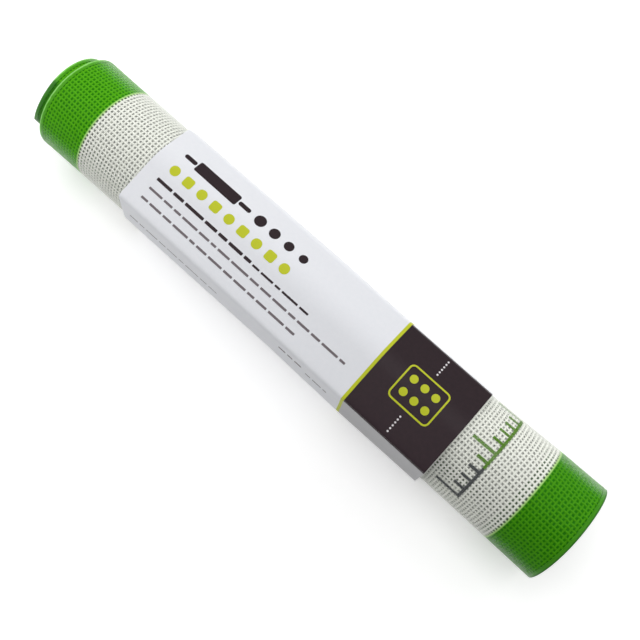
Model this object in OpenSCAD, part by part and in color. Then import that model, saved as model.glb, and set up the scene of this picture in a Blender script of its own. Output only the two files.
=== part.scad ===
// A rolled-up silicone baking liner held in a folded card sleeve, in millimetres.
// The roll's axis lies along X, the sleeve's back panel lies flat at Z = 0, and the near side is -Y.

/* [Sheet] */
// Width of the sheet, which becomes the length of the roll
sheet_w = 300; // [240:5:400]
// Length of the sheet, which is wound up
sheet_l = 400; // [300:5:450]
// Thickness of the woven glass-fibre mesh
mesh_t = 0.4; // [0.3:0.05:0.6]
// Thickness of the silicone on each face of the mesh
coat_t = 0.15; // [0.1:0.05:0.25]
// Width of the green border on all four sides
border_w = 25; // [15:1:35]
// Width of the plain green edge beyond the mesh
seal_w = 2; // [1:0.5:4]

/* [Roll] */
// Outer radius of the roll
roll_r = 25.25; // [20:0.25:35]
// Air gap between one turn and the next
turn_gap = 0.5; // [0.5:0.05:0.8]
// Place of the sheet's outer end, in degrees from the top, measured over the far side
tail_angle = 195; // [150:5:225]
// How far the inner end of the roll stands out on the left
telescope = 3.5; // [0.5:0.5:8]

/* [Card sleeve] */
// Length of the sleeve along the roll
sleeve_l = 180; // [120:5:220]
// Offset of the sleeve's middle from the middle of the outer turn, to the right
sleeve_shift = -3; // [-15:1:15]
// Thickness of the card
card_t = 0.4; // [0.3:0.05:0.6]
// Gap between the roll and the card
sleeve_gap = 0.3; // [0.25:0.05:0.6]
// Angle of the two upper creases from the top, in degrees
crease_angle = 46; // [42:1:50]
// How far the near upper crease stands off the card's round
near_rise = 6; // [3:0.5:8]
// How far the far upper crease stands off the card's round
far_rise = 4; // [2:0.5:8]
// How far the two lower creases stand off the card's round
lower_rise = 9; // [6:0.5:10]
// Width of the glue flap inside the back panel
flap_w = 12; // [8:1:16]
// Thickness of the glue under the flap
glue_t = 0.1; // [0.05:0.05:0.2]

/* [Print] */
// Length of the dark panel, from the sleeve's right end
dark_l = 45; // [30:1:60]
// Width of the lime stripe beside the dark panel
stripe_w = 1.5; // [1:0.5:4]
// Thickness of the ink
ink_t = 0.05; // [0.05:0.05:0.1]

/* [Hidden] */

white_yarn = "whitesmoke";
clear_silicone = "gainsboro";
green_silicone = "limegreen";
green_seal = "forestgreen";
card_white = "white";
glue_cream = "wheat";
ink_dark = "#352c30";
ink_lime = "#b4c024";

// Length of one facet along the sheet
facet_l = 3.6;
// Angle of one facet round the card
facet_angle = 6;
// How fast the telescoping grows towards the inner end
telescope_power = 3;
// Dry edge of the glue flap
glue_inset = 1;
// Bare card between the stripe's end and the lower crease
stripe_margin = 2;
// Overrun of a cut past the face it opens
overrun = 1;

sheet_t = mesh_t + 2 * coat_t;
pitch = sheet_t + turn_gap;
card_in = roll_r + sleeve_gap;
card_r = card_in + card_t;
axis_h = card_r;
// The roll's middle is set so that the whole part is centred on X = 0
roll_x = telescope / 2;
sleeve_x = roll_x + sleeve_shift - sleeve_l / 2;
near_half = acos(card_r / (card_r + near_rise));
far_half = acos(card_r / (card_r + far_rise));
lower_half = acos(card_r / (card_r + lower_rise));
back_w = 2 * card_r * tan(lower_half);
seam_y = card_in * tan(lower_half);
dark_x = sleeve_x + sleeve_l - dark_l;

// Degrees wound, from the outer end, after a length of sheet
function wound(length) =
    let (start_r = roll_r - sheet_t / 2, shrink = pitch / (2 * PI))
    (start_r - sqrt(start_r * start_r - 2 * shrink * length)) / shrink * 180 / PI;

// A point of the rolled sheet: length from the outer end, depth below the outer face, place across
function spot(length, depth, across) =
    let (turned = wound(length), r = roll_r - pitch * turned / 360 - depth, a = tail_angle - turned)
    [
        roll_x + across - telescope * pow(length / sheet_l, telescope_power),
        r * sin(a),
        axis_h + r * cos(a)
    ];

// Lengths along the sheet at which its facets meet, with every border edge among them
edge_facets = ceil((border_w - seal_w) / facet_l);
field_facets = ceil((sheet_l - 2 * border_w) / facet_l);
marks = concat(
    [0],
    [for (i = [0 : edge_facets]) seal_w + (border_w - seal_w) * i / edge_facets],
    [for (i = [1 : field_facets - 1]) border_w + (sheet_l - 2 * border_w) * i / field_facets],
    [for (i = [0 : edge_facets]) sheet_l - border_w + (border_w - seal_w) * i / edge_facets],
    [sheet_l]
);

// Distance from a point to a straight piece of line
function to_line(p, a, b) =
    let (d = b - a, t = max(0, min(1, (p - a) * d / (d * d))))
    norm(p - a - t * d);

// The same point seen along the roll
function section_spot(length, depth) = let (p = spot(length, depth, 0)) [p[1], p[2]];

// Least gap between one turn and the next, measured on the facets across the roll
function least_gap() =
    let (last = len(marks) - 2, window = 2 * facet_l / roll_r * 180 / PI)
    min([
        for (n = [0 : last], i = [0 : last])
            if (abs(wound(marks[i]) - wound(marks[n]) - 360) < window)
                min(
                    to_line(section_spot(marks[n], sheet_t),
                        section_spot(marks[i], 0), section_spot(marks[i + 1], 0)),
                    to_line(section_spot(marks[i], 0),
                        section_spot(marks[n], sheet_t), section_spot(marks[n + 1], sheet_t))
                )
    ]);

// A layer of the rolled sheet between two depths, over the cells that keep(i, j) names
module layer(across, lengths, top, bottom, keep) {
    rows = len(lengths);
    columns = len(across);
    function at(i, j, k) = (j * rows + i) * 2 + k;
    function kept(i, j) = i >= 0 && j >= 0 && i < rows - 1 && j < columns - 1 && keep(i, j);
    cells = [for (j = [0 : columns - 2], i = [0 : rows - 2]) if (keep(i, j)) [i, j]];
    outer = [
        for (c = cells) let (i = c[0], j = c[1])
            each [
                [at(i, j, 0), at(i, j + 1, 0), at(i + 1, j + 1, 0)],
                [at(i, j, 0), at(i + 1, j + 1, 0), at(i + 1, j, 0)]
            ]
    ];
    inner = [
        for (c = cells) let (i = c[0], j = c[1])
            each [
                [at(i, j, 1), at(i + 1, j + 1, 1), at(i, j + 1, 1)],
                [at(i, j, 1), at(i + 1, j, 1), at(i + 1, j + 1, 1)]
            ]
    ];
    left = [
        for (c = cells) let (i = c[0], j = c[1]) if (!kept(i, j - 1))
            each [
                [at(i, j, 0), at(i + 1, j, 0), at(i + 1, j, 1)],
                [at(i, j, 0), at(i + 1, j, 1), at(i, j, 1)]
            ]
    ];
    right = [
        for (c = cells) let (i = c[0], j = c[1] + 1) if (!kept(i, j))
            each [
                [at(i, j, 0), at(i + 1, j, 1), at(i + 1, j, 0)],
                [at(i, j, 0), at(i, j, 1), at(i + 1, j, 1)]
            ]
    ];
    start = [
        for (c = cells) let (i = c[0], j = c[1]) if (!kept(i - 1, j))
            each [
                [at(i, j, 0), at(i, j, 1), at(i, j + 1, 1)],
                [at(i, j, 0), at(i, j + 1, 1), at(i, j + 1, 0)]
            ]
    ];
    finish = [
        for (c = cells) let (i = c[0] + 1, j = c[1]) if (!kept(i, j))
            each [
                [at(i, j, 0), at(i, j + 1, 0), at(i, j + 1, 1)],
                [at(i, j, 0), at(i, j + 1, 1), at(i, j, 1)]
            ]
    ];
    polyhedron(
        points = [for (x = across, s = lengths, depth = [top, bottom]) spot(s, depth, x)],
        faces = concat(outer, inner, left, right, start, finish)
    );
}

// A full layer that stops a margin short of every edge of the sheet
module full_layer(margin, top, bottom) {
    half = sheet_w / 2 - margin;
    lengths = [for (m = marks) if (m >= margin && m <= sheet_l - margin) m];
    layer([-half, half], lengths, top, bottom, function (i, j) true);
}

// A frame-shaped layer between an outer and an inner margin
module frame_layer(outer_margin, inner_margin, top, bottom) {
    far = sheet_w / 2 - outer_margin;
    near = sheet_w / 2 - inner_margin;
    lengths = [for (m = marks) if (m >= outer_margin && m <= sheet_l - outer_margin) m];
    layer([-far, -near, near, far], lengths, top, bottom, function (i, j)
        j != 1 || lengths[i] < inner_margin || lengths[i + 1] > sheet_l - inner_margin);
}

// A point round the roll's axis, in degrees from the top over the far side
function around(r, a) = [r * sin(a), r * cos(a)];
function bend(r, from, to) =
    let (steps = ceil((to - from) / facet_angle))
    [for (i = [0 : steps]) around(r, from + (to - from) * i / steps)];

// The card's line over its front panel, crease to crease, at a radius
function front_line(r) = concat(
    [around(r / cos(near_half), -crease_angle)],
    bend(r, near_half - crease_angle, crease_angle - far_half),
    [around(r / cos(far_half), crease_angle)]
);
function near_side(r) = bend(r, 2 * lower_half - 180, -crease_angle - near_half);
function far_side(r) = bend(r, crease_angle + far_half, 180 - 2 * lower_half);

// The card's whole line, from the near lower crease up and over to the far lower crease
function card_line(r) = concat(
    [around(r / cos(lower_half), lower_half - 180)],
    near_side(r),
    front_line(r),
    far_side(r),
    [around(r / cos(lower_half), 180 - lower_half)]
);

// The stripe's line stops short of the lower creases
function stripe_line(r) =
    let (share = 1 - stripe_margin / (card_r * tan(lower_half)), reach = atan(share * tan(lower_half)))
    concat(
        [around(r / cos(reach), 2 * lower_half - 180 - reach)],
        near_side(r),
        front_line(r),
        far_side(r),
        [around(r / cos(reach), 180 - 2 * lower_half + reach)]
    );

function backwards(list) = [for (i = [len(list) - 1 : -1 : 0]) list[i]];

// Stands a shape drawn round the axis upright and runs it along X
module along_roll(x, length) {
    translate([x, 0, axis_h])
        rotate([90, 0, 90])
            linear_extrude(height = length)
                children();
}

// The open weave that gives the sheet its strength
module glass_fibre_mesh() {
    color(white_yarn)
        full_layer(seal_w, coat_t, coat_t + mesh_t);
}

// Clear silicone over the outer face, inside the border
module outer_silicone_coat() {
    color(clear_silicone)
        full_layer(border_w, 0, coat_t);
}

// Clear silicone over the inner face, inside the border
module inner_silicone_coat() {
    color(clear_silicone)
        full_layer(border_w, coat_t + mesh_t, sheet_t);
}

// Green silicone round the outer face
module outer_green_border() {
    color(green_silicone)
        frame_layer(seal_w, border_w, 0, coat_t);
}

// Green silicone round the inner face
module inner_green_border() {
    color(green_silicone)
        frame_layer(seal_w, border_w, coat_t + mesh_t, sheet_t);
}

// Plain green silicone that closes the cut edge of the mesh
module green_edge_seal() {
    color(green_seal)
        frame_layer(0, seal_w, 0, sheet_t);
}

// One folded card, its flap turned in under the roll at the far lower crease
module card_sleeve() {
    color(card_white)
        union() {
            along_roll(sleeve_x, sleeve_l)
                difference() {
                    polygon(card_line(card_r));
                    polygon(card_line(card_in));
                    translate([seam_y, -card_r - overrun])
                        square([back_w / 2 - seam_y + overrun, card_t + glue_t + overrun]);
                }
            along_roll(sleeve_x, sleeve_l)
                translate([seam_y - flap_w, glue_t - card_in])
                    square([flap_w + (back_w / 2 - seam_y) / 2, card_t]);
        }
}

// The glue between the flap and the back panel
module sleeve_glue_seam() {
    color(glue_cream)
        along_roll(sleeve_x, sleeve_l)
            translate([seam_y - flap_w + glue_inset, -card_in])
                square([flap_w - glue_inset, glue_t]);
}

// Dark ink over the right end of the front panel
module dark_print_panel() {
    color(ink_dark)
        along_roll(dark_x, dark_l)
            polygon(concat(front_line(card_r), backwards(front_line(card_r + ink_t))));
}

// Lime ink that runs over the front and down both sides
module lime_print_stripe() {
    color(ink_lime)
        along_roll(dark_x - stripe_w, stripe_w)
            polygon(concat(stripe_line(card_r), backwards(stripe_line(card_r + ink_t))));
}

echo(least_gap_between_turns = least_gap(), turns = wound(sheet_l) / 360, back_panel = back_w);

glass_fibre_mesh();
outer_silicone_coat();
inner_silicone_coat();
outer_green_border();
inner_green_border();
green_edge_seal();
card_sleeve();
sleeve_glue_seam();
dark_print_panel();
lime_print_stripe();
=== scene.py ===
# %% [markdown]
# # A rolled baking liner in its card sleeve
#
# The liner is one sheet. An open weave of glass yarn is soaked in clear silicone, and a band of
# green silicone runs round its edge. For the shelf it is rolled up and held by one folded card.
# Both are flat things that were bent, so both are made that way here: each piece is modelled
# flat with mesh operators, and one short function then rolls or folds it into place.

# %% Load the frame
import math

import bmesh
import bpy
import numpy as np
from mathutils import Euler, Matrix, Vector


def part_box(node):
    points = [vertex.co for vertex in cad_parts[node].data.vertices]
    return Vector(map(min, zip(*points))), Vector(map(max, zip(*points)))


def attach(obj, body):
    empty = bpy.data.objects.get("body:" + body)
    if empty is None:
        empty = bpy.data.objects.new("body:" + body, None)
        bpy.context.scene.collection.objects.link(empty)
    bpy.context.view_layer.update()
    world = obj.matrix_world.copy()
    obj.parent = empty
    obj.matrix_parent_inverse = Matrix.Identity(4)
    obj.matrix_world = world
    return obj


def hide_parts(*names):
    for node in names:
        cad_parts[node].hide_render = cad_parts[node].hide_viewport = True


MM = 0.001
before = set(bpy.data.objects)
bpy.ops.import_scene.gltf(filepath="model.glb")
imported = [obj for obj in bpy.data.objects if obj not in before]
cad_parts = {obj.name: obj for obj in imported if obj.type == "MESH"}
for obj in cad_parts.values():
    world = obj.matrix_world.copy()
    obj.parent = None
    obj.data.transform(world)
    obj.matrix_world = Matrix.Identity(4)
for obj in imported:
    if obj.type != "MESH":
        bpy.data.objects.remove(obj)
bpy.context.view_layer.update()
print("nodes:", sorted(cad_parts))

# %% [markdown]
# ## Camera
#
# The picture is taken almost straight from above, with the roll lying across it. The camera is
# a little to the right of the middle and on the near side, so the right end comes out larger.

# %% Camera
CAMERA_PLACE = Vector((73.7, -70.3, 429.7)) * MM
CAMERA_TURN_DEG = (13.13, 0.17, 42.23)
LENS_MM = 51.28

camera = bpy.data.objects.new("camera", bpy.data.cameras.new("camera"))
bpy.context.scene.collection.objects.link(camera)
camera.location = CAMERA_PLACE
camera.rotation_euler = Euler([math.radians(turn) for turn in CAMERA_TURN_DEG])
camera.data.lens = LENS_MM
camera.data.clip_start = 5 * MM
bpy.context.scene.camera = camera
bpy.context.scene.view_settings.view_transform = "Standard"
print("camera height in mm:", round(CAMERA_PLACE.z / MM))

# %% [markdown]
# ## Helpers for materials
#
# A procedural material is a small formula. These helpers let it be written as one: a colour as
# it looks on a screen, a Math node that takes numbers or sockets, and a group with named sockets.


# %% Helpers for materials
def screen(red, green, blue):
    """A colour as it looks on a screen, from 0 to 255, as the linear colour that shaders use."""
    shares = [value / 255 for value in (red, green, blue)]
    linear = [s / 12.92 if s < 0.04045 else ((s + 0.055) / 1.055) ** 2.4 for s in shares]
    return (*linear, 1.0)


def feed(tree, socket, value):
    """Links a socket to an input, or sets the input to a number or colour."""
    if isinstance(value, bpy.types.NodeSocket):
        tree.links.new(value, socket)
    else:
        socket.default_value = value


def calc(tree, operation, *values, clamp=False):
    """A Math node, and its result."""
    node = tree.nodes.new("ShaderNodeMath")
    node.operation = operation
    node.use_clamp = clamp
    for socket, value in zip(node.inputs, values):
        feed(tree, socket, value)
    return node.outputs[0]


def ramp(tree, value, low, high):
    """A smooth step from 0 at low to 1 at high."""
    node = tree.nodes.new("ShaderNodeMapRange")
    node.interpolation_type = "SMOOTHSTEP"
    for label, amount in (("Value", value), ("From Min", low), ("From Max", high)):
        feed(tree, node.inputs[label], amount)
    return node.outputs["Result"]


def mix(tree, share, first, second):
    """A blend of two colours."""
    node = tree.nodes.new("ShaderNodeMix")
    node.data_type = "RGBA"
    factor, colour_a, colour_b = node.inputs[0], node.inputs[6], node.inputs[7]
    for socket, value in ((factor, share), (colour_a, first), (colour_b, second)):
        feed(tree, socket, value)
    return node.outputs[2]


def scaled(tree, place, factors):
    """A place stretched along its axes, so that a pattern on it gets the size it needs."""
    node = tree.nodes.new("ShaderNodeMapping")
    feed(tree, node.inputs["Vector"], place)
    node.inputs["Scale"].default_value = factors
    return node.outputs["Vector"]


def cloudy(tree, place, scale, detail=2.0):
    """A soft noise around 0.5."""
    node = tree.nodes.new("ShaderNodeTexNoise")
    feed(tree, node.inputs["Vector"], place)
    node.inputs["Scale"].default_value = scale
    node.inputs["Detail"].default_value = detail
    return node.outputs["Fac"]


def group(name, inputs, outputs):
    """An empty shader group with named sockets, its input node and its output node."""
    tree = bpy.data.node_groups.new(name, "ShaderNodeTree")
    for label, kind in inputs:
        tree.interface.new_socket(label, in_out="INPUT", socket_type=kind)
    for label, kind in outputs:
        tree.interface.new_socket(label, in_out="OUTPUT", socket_type=kind)
    return tree, tree.nodes.new("NodeGroupInput"), tree.nodes.new("NodeGroupOutput")


def use(tree, inner, **values):
    """Places a group in a tree and feeds its inputs by name."""
    node = tree.nodes.new("ShaderNodeGroup")
    node.node_tree = inner
    for label, value in values.items():
        feed(tree, node.inputs[label], value)
    return node


def material(name):
    """A new material, its tree and its Principled BSDF."""
    made = bpy.data.materials.new(name)
    made.use_nodes = True
    return made, made.node_tree, made.node_tree.nodes["Principled BSDF"]


def bumped(tree, shader, height, distance, strength=1.0):
    """Feeds a height in metres to the shader's normal."""
    node = tree.nodes.new("ShaderNodeBump")
    node.inputs["Distance"].default_value = distance
    node.inputs["Strength"].default_value = strength
    feed(tree, node.inputs["Height"], height)
    tree.links.new(node.outputs["Normal"], shader.inputs["Normal"])


def roughened(tree, shader, pattern, least, most):
    """Lets the roughness follow a pattern, from least to most."""
    rough = calc(tree, "MULTIPLY_ADD", pattern, most - least, least)
    tree.links.new(rough, shader.inputs["Roughness"])


def directly_seen(tree):
    """1 for what the camera sees, straight, in a reflection or through something clear."""
    ray = tree.nodes.new("ShaderNodeLightPath")
    seen = calc(tree, "MAXIMUM", ray.outputs["Is Camera Ray"], ray.outputs["Is Glossy Ray"])
    return calc(tree, "MAXIMUM", seen, ray.outputs["Is Transmission Ray"])


# %% [markdown]
# ## Floor and light
#
# A product picture on white: a soft sky that is brightest behind the roll, a broad lamp above it,
# two weak ones close to its left end and one beyond its right end, so the near side falls into a
# soft shade towards the right. The floor keeps the shadow, and a share of plain white that only
# the camera sees takes it up to paper white.

# %% Floor
FLOOR_SIZE = 4.0
FLOOR_DROP = 0.05 * MM
FLOOR_WHITE = screen(243, 243, 243)
FLOOR_GLOW = 0.395

floor_mesh = bmesh.new()
bmesh.ops.create_grid(floor_mesh, x_segments=1, y_segments=1, size=FLOOR_SIZE / 2)
bmesh.ops.translate(floor_mesh, verts=floor_mesh.verts, vec=(0, 0, -FLOOR_DROP))
floor = bpy.data.objects.new("floor", bpy.data.meshes.new("floor"))
floor_mesh.to_mesh(floor.data)
floor_mesh.free()
bpy.context.scene.collection.objects.link(floor)

floor_material, tree, shader = material("pale_floor")
shader.inputs["Base Color"].default_value = FLOOR_WHITE
shader.inputs["Roughness"].default_value = 0.9
shader.inputs["Specular IOR Level"].default_value = 0.1
shader.inputs["Emission Color"].default_value = (1, 1, 1, 1)
glow = calc(tree, "MULTIPLY", directly_seen(tree), FLOOR_GLOW)
tree.links.new(glow, shader.inputs["Emission Strength"])
floor.data.materials.append(floor_material)
print("floor in metres:", FLOOR_SIZE, "glow:", FLOOR_GLOW)

# %% Sky
SKY_EVEN = 0.245
SKY_BRIGHT = 1.28
SKY_FOCUS = 2.0
SKY_TOWARDS = Vector((-0.10, 0.95, 0.30)).normalized()

world = bpy.data.worlds.new("studio")
bpy.context.scene.world = world
world.use_nodes = True
tree = world.node_tree
sky = tree.nodes["Background"]
direction = tree.nodes.new("ShaderNodeTexCoord")
towards = tree.nodes.new("ShaderNodeVectorMath")
towards.operation = "DOT_PRODUCT"
tree.links.new(direction.outputs["Generated"], towards.inputs[0])
towards.inputs[1].default_value = SKY_TOWARDS
facing = calc(tree, "MAXIMUM", towards.outputs["Value"], 0.0)
glare = calc(tree, "POWER", facing, SKY_FOCUS)
soft = calc(tree, "MULTIPLY_ADD", glare, SKY_BRIGHT, SKY_EVEN)
to_white = calc(tree, "SUBTRACT", 1.0, soft)
strength = calc(tree, "MULTIPLY_ADD", directly_seen(tree), to_white, soft)
tree.links.new(strength, sky.inputs["Strength"])
sky.inputs["Color"].default_value = (1, 1, 1, 1)
print("sky from", SKY_EVEN, "to", SKY_EVEN + SKY_BRIGHT)

# %% Lamps
LAMPS = (
    ("top_lamp", (0.0, 0.10, 0.90), 0.5, 1.85),
    ("left_lamp", (-0.38, -0.10, 0.30), 0.3, 0.55),
    ("low_lamp", (-0.30, -0.40, 0.14), 0.25, 0.15),
    ("right_lamp", (0.55, 0.20, 0.12), 0.3, 0.45),
)

for label, place, size, watts in LAMPS:
    lamp = bpy.data.objects.new(label, bpy.data.lights.new(label, "AREA"))
    bpy.context.scene.collection.objects.link(lamp)
    lamp.data.size = size
    lamp.data.energy = watts
    lamp.location = place
    lamp.rotation_euler = (-Vector(place)).to_track_quat("-Z", "Y").to_euler()
    print(label, "in watts:", watts)

# %% [markdown]
# ## The roll
#
# The sheet is 300 by 400 mm. Wound up it is a spiral whose radius shrinks by one pitch, the
# sheet's thickness and an air gap, with every turn. The last turn has also crept out to the
# left, and past the sleeve that grips its middle the outer turn springs open a little. On the
# near side the turns below it lie further in, so less light gets through its holes. On the far
# side the sleeve squeezes the roll a little towards the right. All of that is one formula, from
# a place on the flat sheet to a place in the roll. Sizes are in millimetres, and an angle is
# counted from the top, over the far side.

# %% Size of the sheet and of the roll
SHEET_W = 300.0
SHEET_L = 400.0
SHEET_T = 0.7
TURN_GAP = 0.56
TAIL_ANGLE = math.radians(195)
CARD_T = 0.4
SLEEVE_GAP = 0.3

seal_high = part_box("green_edge_seal")[1]
card_low, card_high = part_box("card_sleeve")
AXIS_H = (card_low.z + card_high.z) / 2 / MM
ROLL_R = AXIS_H - CARD_T - SLEEVE_GAP
ROLL_X = seal_high.x / MM - SHEET_W / 2
PITCH = SHEET_T + TURN_GAP
START_R = ROLL_R - SHEET_T / 2
SHRINK = PITCH / math.tau
print("roll radius:", round(ROLL_R, 2), "pitch of the turns:", PITCH)

# %% How loose the roll is
CREEP = 5.25
CREEP_FROM = 275.0
CREEP_UNTIL = 345.0
CORNER_CREEP = 1.9
CORNER_FROM = 380.0
FLARE_LEFT = 0.45
FLARE_RIGHT = 0.72
FLARE_FROM = 90.0
FLARE_UNTIL = 140.0
FLARE_FADE = 60.0
INNER_FROM = -160.0
NEAR_HOLLOW = 1.1
NEAR_HOLLOW_AT = math.radians(-62)
FAR_PRESS = 0.5
FAR_PRESS_AT = math.radians(50)
FIELD_FROM = 140.0
FIELD_UNTIL = 122.0
SQUEEZE = 0.6
SQUEEZE_AT = math.radians(84)
SQUEEZE_RISE = (-12.0, 42.0)
SQUEEZE_FALL = (88.0, 125.0)
print("creep of the last turn:", CREEP)


# %% Rolling
def eased(value, low, high):
    """A smooth step from 0 at low to 1 at high, for arrays."""
    share = np.clip((value - low) / (high - low), 0, 1)
    return share * share * (3 - 2 * share)


def on_side(angle, side):
    """1 on one side of the roll, fading to 0 a quarter turn away from it."""
    return np.clip(np.cos(angle - side), 0, 1) ** 2


def length_at(angle_deg):
    """Length from the outer end at which the outer turn passes an angle from the top."""
    turned = TAIL_ANGLE - math.radians(angle_deg)
    return START_R * turned - SHRINK * turned**2 / 2


def rolled(flat):
    """Rolls the sheet up. A flat place is length from the outer end, place across and height."""
    length, across, height = flat.T
    turned = (START_R - np.sqrt(START_R**2 - 2 * SHRINK * length)) / SHRINK
    angle = TAIL_ANGLE - turned
    # Past the sleeve the outer turn springs open.
    loose = np.clip(np.abs(across) - FLARE_FROM, 0, None) / (SHEET_W / 2 - FLARE_FROM)
    outer = np.clip(1 - (length - FLARE_UNTIL) / FLARE_FADE, 0, 1)
    flare = np.where(across > 0, FLARE_RIGHT * loose, FLARE_LEFT * loose**2)
    radius = START_R - SHRINK * turned + height + flare * outer
    # The turns below it lie further in on the near side, and closer to it on the far side.
    inner = length > length_at(INNER_FROM)
    field = np.clip((FIELD_FROM - np.abs(across)) / (FIELD_FROM - FIELD_UNTIL), 0, 1)
    hollow = NEAR_HOLLOW * on_side(angle, NEAR_HOLLOW_AT)
    press = FAR_PRESS * on_side(angle, FAR_PRESS_AT)
    # The sleeve squeezes the far side.
    squeezed = eased(across, *SQUEEZE_RISE) - eased(across, *SQUEEZE_FALL)
    squeeze = SQUEEZE * squeezed * on_side(angle, SQUEEZE_AT)
    radius = radius + (press - hollow) * inner * field - squeeze
    # The last turn has crept to the left, and its corner a little further.
    corner = np.clip((length - CORNER_FROM) / (SHEET_L - CORNER_FROM), 0, 1)
    left = CREEP * eased(length, CREEP_FROM, CREEP_UNTIL) + CORNER_CREEP * corner**2
    along = ROLL_X + across - left
    return np.stack([along, radius * np.sin(angle), AXIS_H + radius * np.cos(angle)], 1) * MM


print("turns:", round((START_R - math.sqrt(START_R**2 - 2 * SHRINK * SHEET_L)) / PITCH, 2))

# %% [markdown]
# ## From flat mesh to finished piece
#
# Every piece ends the same way: the flat place of each corner is kept as its UV map, so that
# colours can follow the sheet, and then the mesh is bent. Its object stays at the origin.

# %% Finishing a piece
SHARP_ANGLE = math.radians(40)


def finished(name, bm, bend, span, body, replaced, look):
    """Bends a flat bmesh and makes it a piece. span is the flat size that the UV map covers."""
    mesh = bpy.data.meshes.new(name)
    bm.to_mesh(mesh)
    bm.free()
    flat = np.empty(len(mesh.vertices) * 3)
    mesh.vertices.foreach_get("co", flat)
    flat = flat.reshape(-1, 3)
    corners = np.empty(len(mesh.loops), int)
    mesh.loops.foreach_get("vertex_index", corners)
    places = flat[corners, :2] / np.array(span) + np.array([0, 0.5])
    mesh.uv_layers.new(name="flat").data.foreach_set("uv", places.ravel())
    mesh.vertices.foreach_set("co", bend(flat).ravel())
    mesh.polygons.foreach_set("use_smooth", [True] * len(mesh.polygons))
    mesh.set_sharp_from_angle(angle=SHARP_ANGLE)
    mesh.materials.append(look)
    mesh.update()
    piece = bpy.data.objects.new(name, mesh)
    bpy.context.scene.collection.objects.link(piece)
    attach(piece, body)
    if replaced:
        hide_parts(*replaced)
    heights = [round(float(limit), 3) for limit in (flat[:, 2].min(), flat[:, 2].max())]
    print(name, "faces:", len(mesh.polygons), "heights:", *heights)
    return piece


def everything(bm):
    """All of a bmesh's geometry, as operators want it."""
    return bm.verts[:] + bm.edges[:] + bm.faces[:]


def cut_along(bm, places, axis):
    """Cuts a flat mesh at places along an axis, so that it can bend there."""
    normal = Vector([float(i == axis) for i in range(3)])
    for place in places:
        bmesh.ops.bisect_plane(bm, geom=everything(bm), plane_co=normal * place, plane_no=normal)


# %% [markdown]
# ## Colours of the sheet
#
# One group says where on the sheet a place is: in the green border and how deep its colour is
# there, on the thin bright line where green meets white, or in the printed scale. The green is
# deepest in a corner, and on the whole right half it is made deeper as painted shade. Yarn and
# silicone both use the group.

# %% The printed scale
SCALE_X = 104.0
SCALE_FROM = 62.0
TICKS = 11
GREEN_TICKS = 7
LONG_EVERY = 5
TICK_PITCH = 5.1
TICK_SHORT = 5.5
TICK_LONG = 12.0
MARK_LINE = 1.1
MARK_BLUR = 0.3
MARK_COVER = 0.35


def scale_mask(tree, length, across):
    """1 on the scale, a line with ticks of which some are long, and the number of the tick."""
    past = calc(tree, "DIVIDE", calc(tree, "SUBTRACT", length, length_at(SCALE_FROM)), TICK_PITCH)
    number = calc(tree, "ROUND", past)
    off = calc(tree, "ABSOLUTE", calc(tree, "SUBTRACT", past, number))
    off_tick = calc(tree, "MULTIPLY_ADD", off, TICK_PITCH, -MARK_LINE / 2)
    every = calc(tree, "LESS_THAN", calc(tree, "FLOORED_MODULO", number, LONG_EVERY), 0.5)
    reach = calc(tree, "MULTIPLY_ADD", every, TICK_LONG - TICK_SHORT, TICK_SHORT)
    off_line = calc(tree, "SUBTRACT", SCALE_X, across)
    past_tip = calc(tree, "SUBTRACT", off_line, reach)
    past_side = calc(tree, "MAXIMUM", past_tip, calc(tree, "MULTIPLY", off_line, -1))
    in_tick = calc(tree, "MAXIMUM", off_tick, past_side)
    in_line = calc(tree, "SUBTRACT", calc(tree, "ABSOLUTE", off_line), MARK_LINE / 2)
    last = TICK_PITCH * (TICKS - 1) + MARK_LINE / 2
    past_last = calc(tree, "MULTIPLY_ADD", past, TICK_PITCH, -last)
    past_first = calc(tree, "MULTIPLY_ADD", past, -TICK_PITCH, -MARK_LINE / 2)
    past_end = calc(tree, "MAXIMUM", past_last, past_first)
    outside = calc(tree, "MAXIMUM", calc(tree, "MINIMUM", in_tick, in_line), past_end)
    return ramp(tree, outside, MARK_BLUR, 0.0), past


print("scale starts at length:", round(length_at(SCALE_FROM), 1))

# %% Where on the sheet
BORDER_W = 25.0
SEAL_W = 2.0
BORDER_BLUR = 0.25
LINE_W = 0.9
CORNER_BLUR = 1.0
CORNER_DEPTH = 0.8
# Painted shade: how much deeper the green is made on the whole right half.
PAINTED_RIGHT_SHADE = 0.35

labels = ("Edge", "Border", "Depth", "Left", "Line", "Green Mark", "Grey Mark")
outputs = [(label, "NodeSocketFloat") for label in labels]
sheet_map, start, end = group("sheet_map", [("Place", "NodeSocketVector")], outputs)
tree = sheet_map
parts = tree.nodes.new("ShaderNodeSeparateXYZ")
tree.links.new(start.outputs["Place"], parts.inputs[0])
length = calc(tree, "MULTIPLY", parts.outputs["X"], SHEET_L)
across = calc(tree, "MULTIPLY", calc(tree, "SUBTRACT", parts.outputs["Y"], 0.5), SHEET_W)
from_end = calc(tree, "MINIMUM", length, calc(tree, "SUBTRACT", SHEET_L, length))
from_side = calc(tree, "SUBTRACT", SHEET_W / 2, calc(tree, "ABSOLUTE", across))
from_edge = calc(tree, "MINIMUM", from_end, from_side)
inside = ramp(tree, from_edge, BORDER_W - BORDER_BLUR, BORDER_W + BORDER_BLUR)
in_end = ramp(tree, from_end, BORDER_W + CORNER_BLUR, BORDER_W - CORNER_BLUR)
in_side = ramp(tree, from_side, BORDER_W + CORNER_BLUR, BORDER_W - CORNER_BLUR)
in_corner = calc(tree, "MULTIPLY", in_end, in_side)
corner_depth = calc(tree, "MULTIPLY", in_corner, CORNER_DEPTH)
on_left = calc(tree, "LESS_THAN", across, 0.0)
# Painted shade: the right half of the green is pulled towards the deepest green.
painted_right_shade = calc(tree, "MULTIPLY_ADD", on_left, -PAINTED_RIGHT_SHADE, PAINTED_RIGHT_SHADE)
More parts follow.
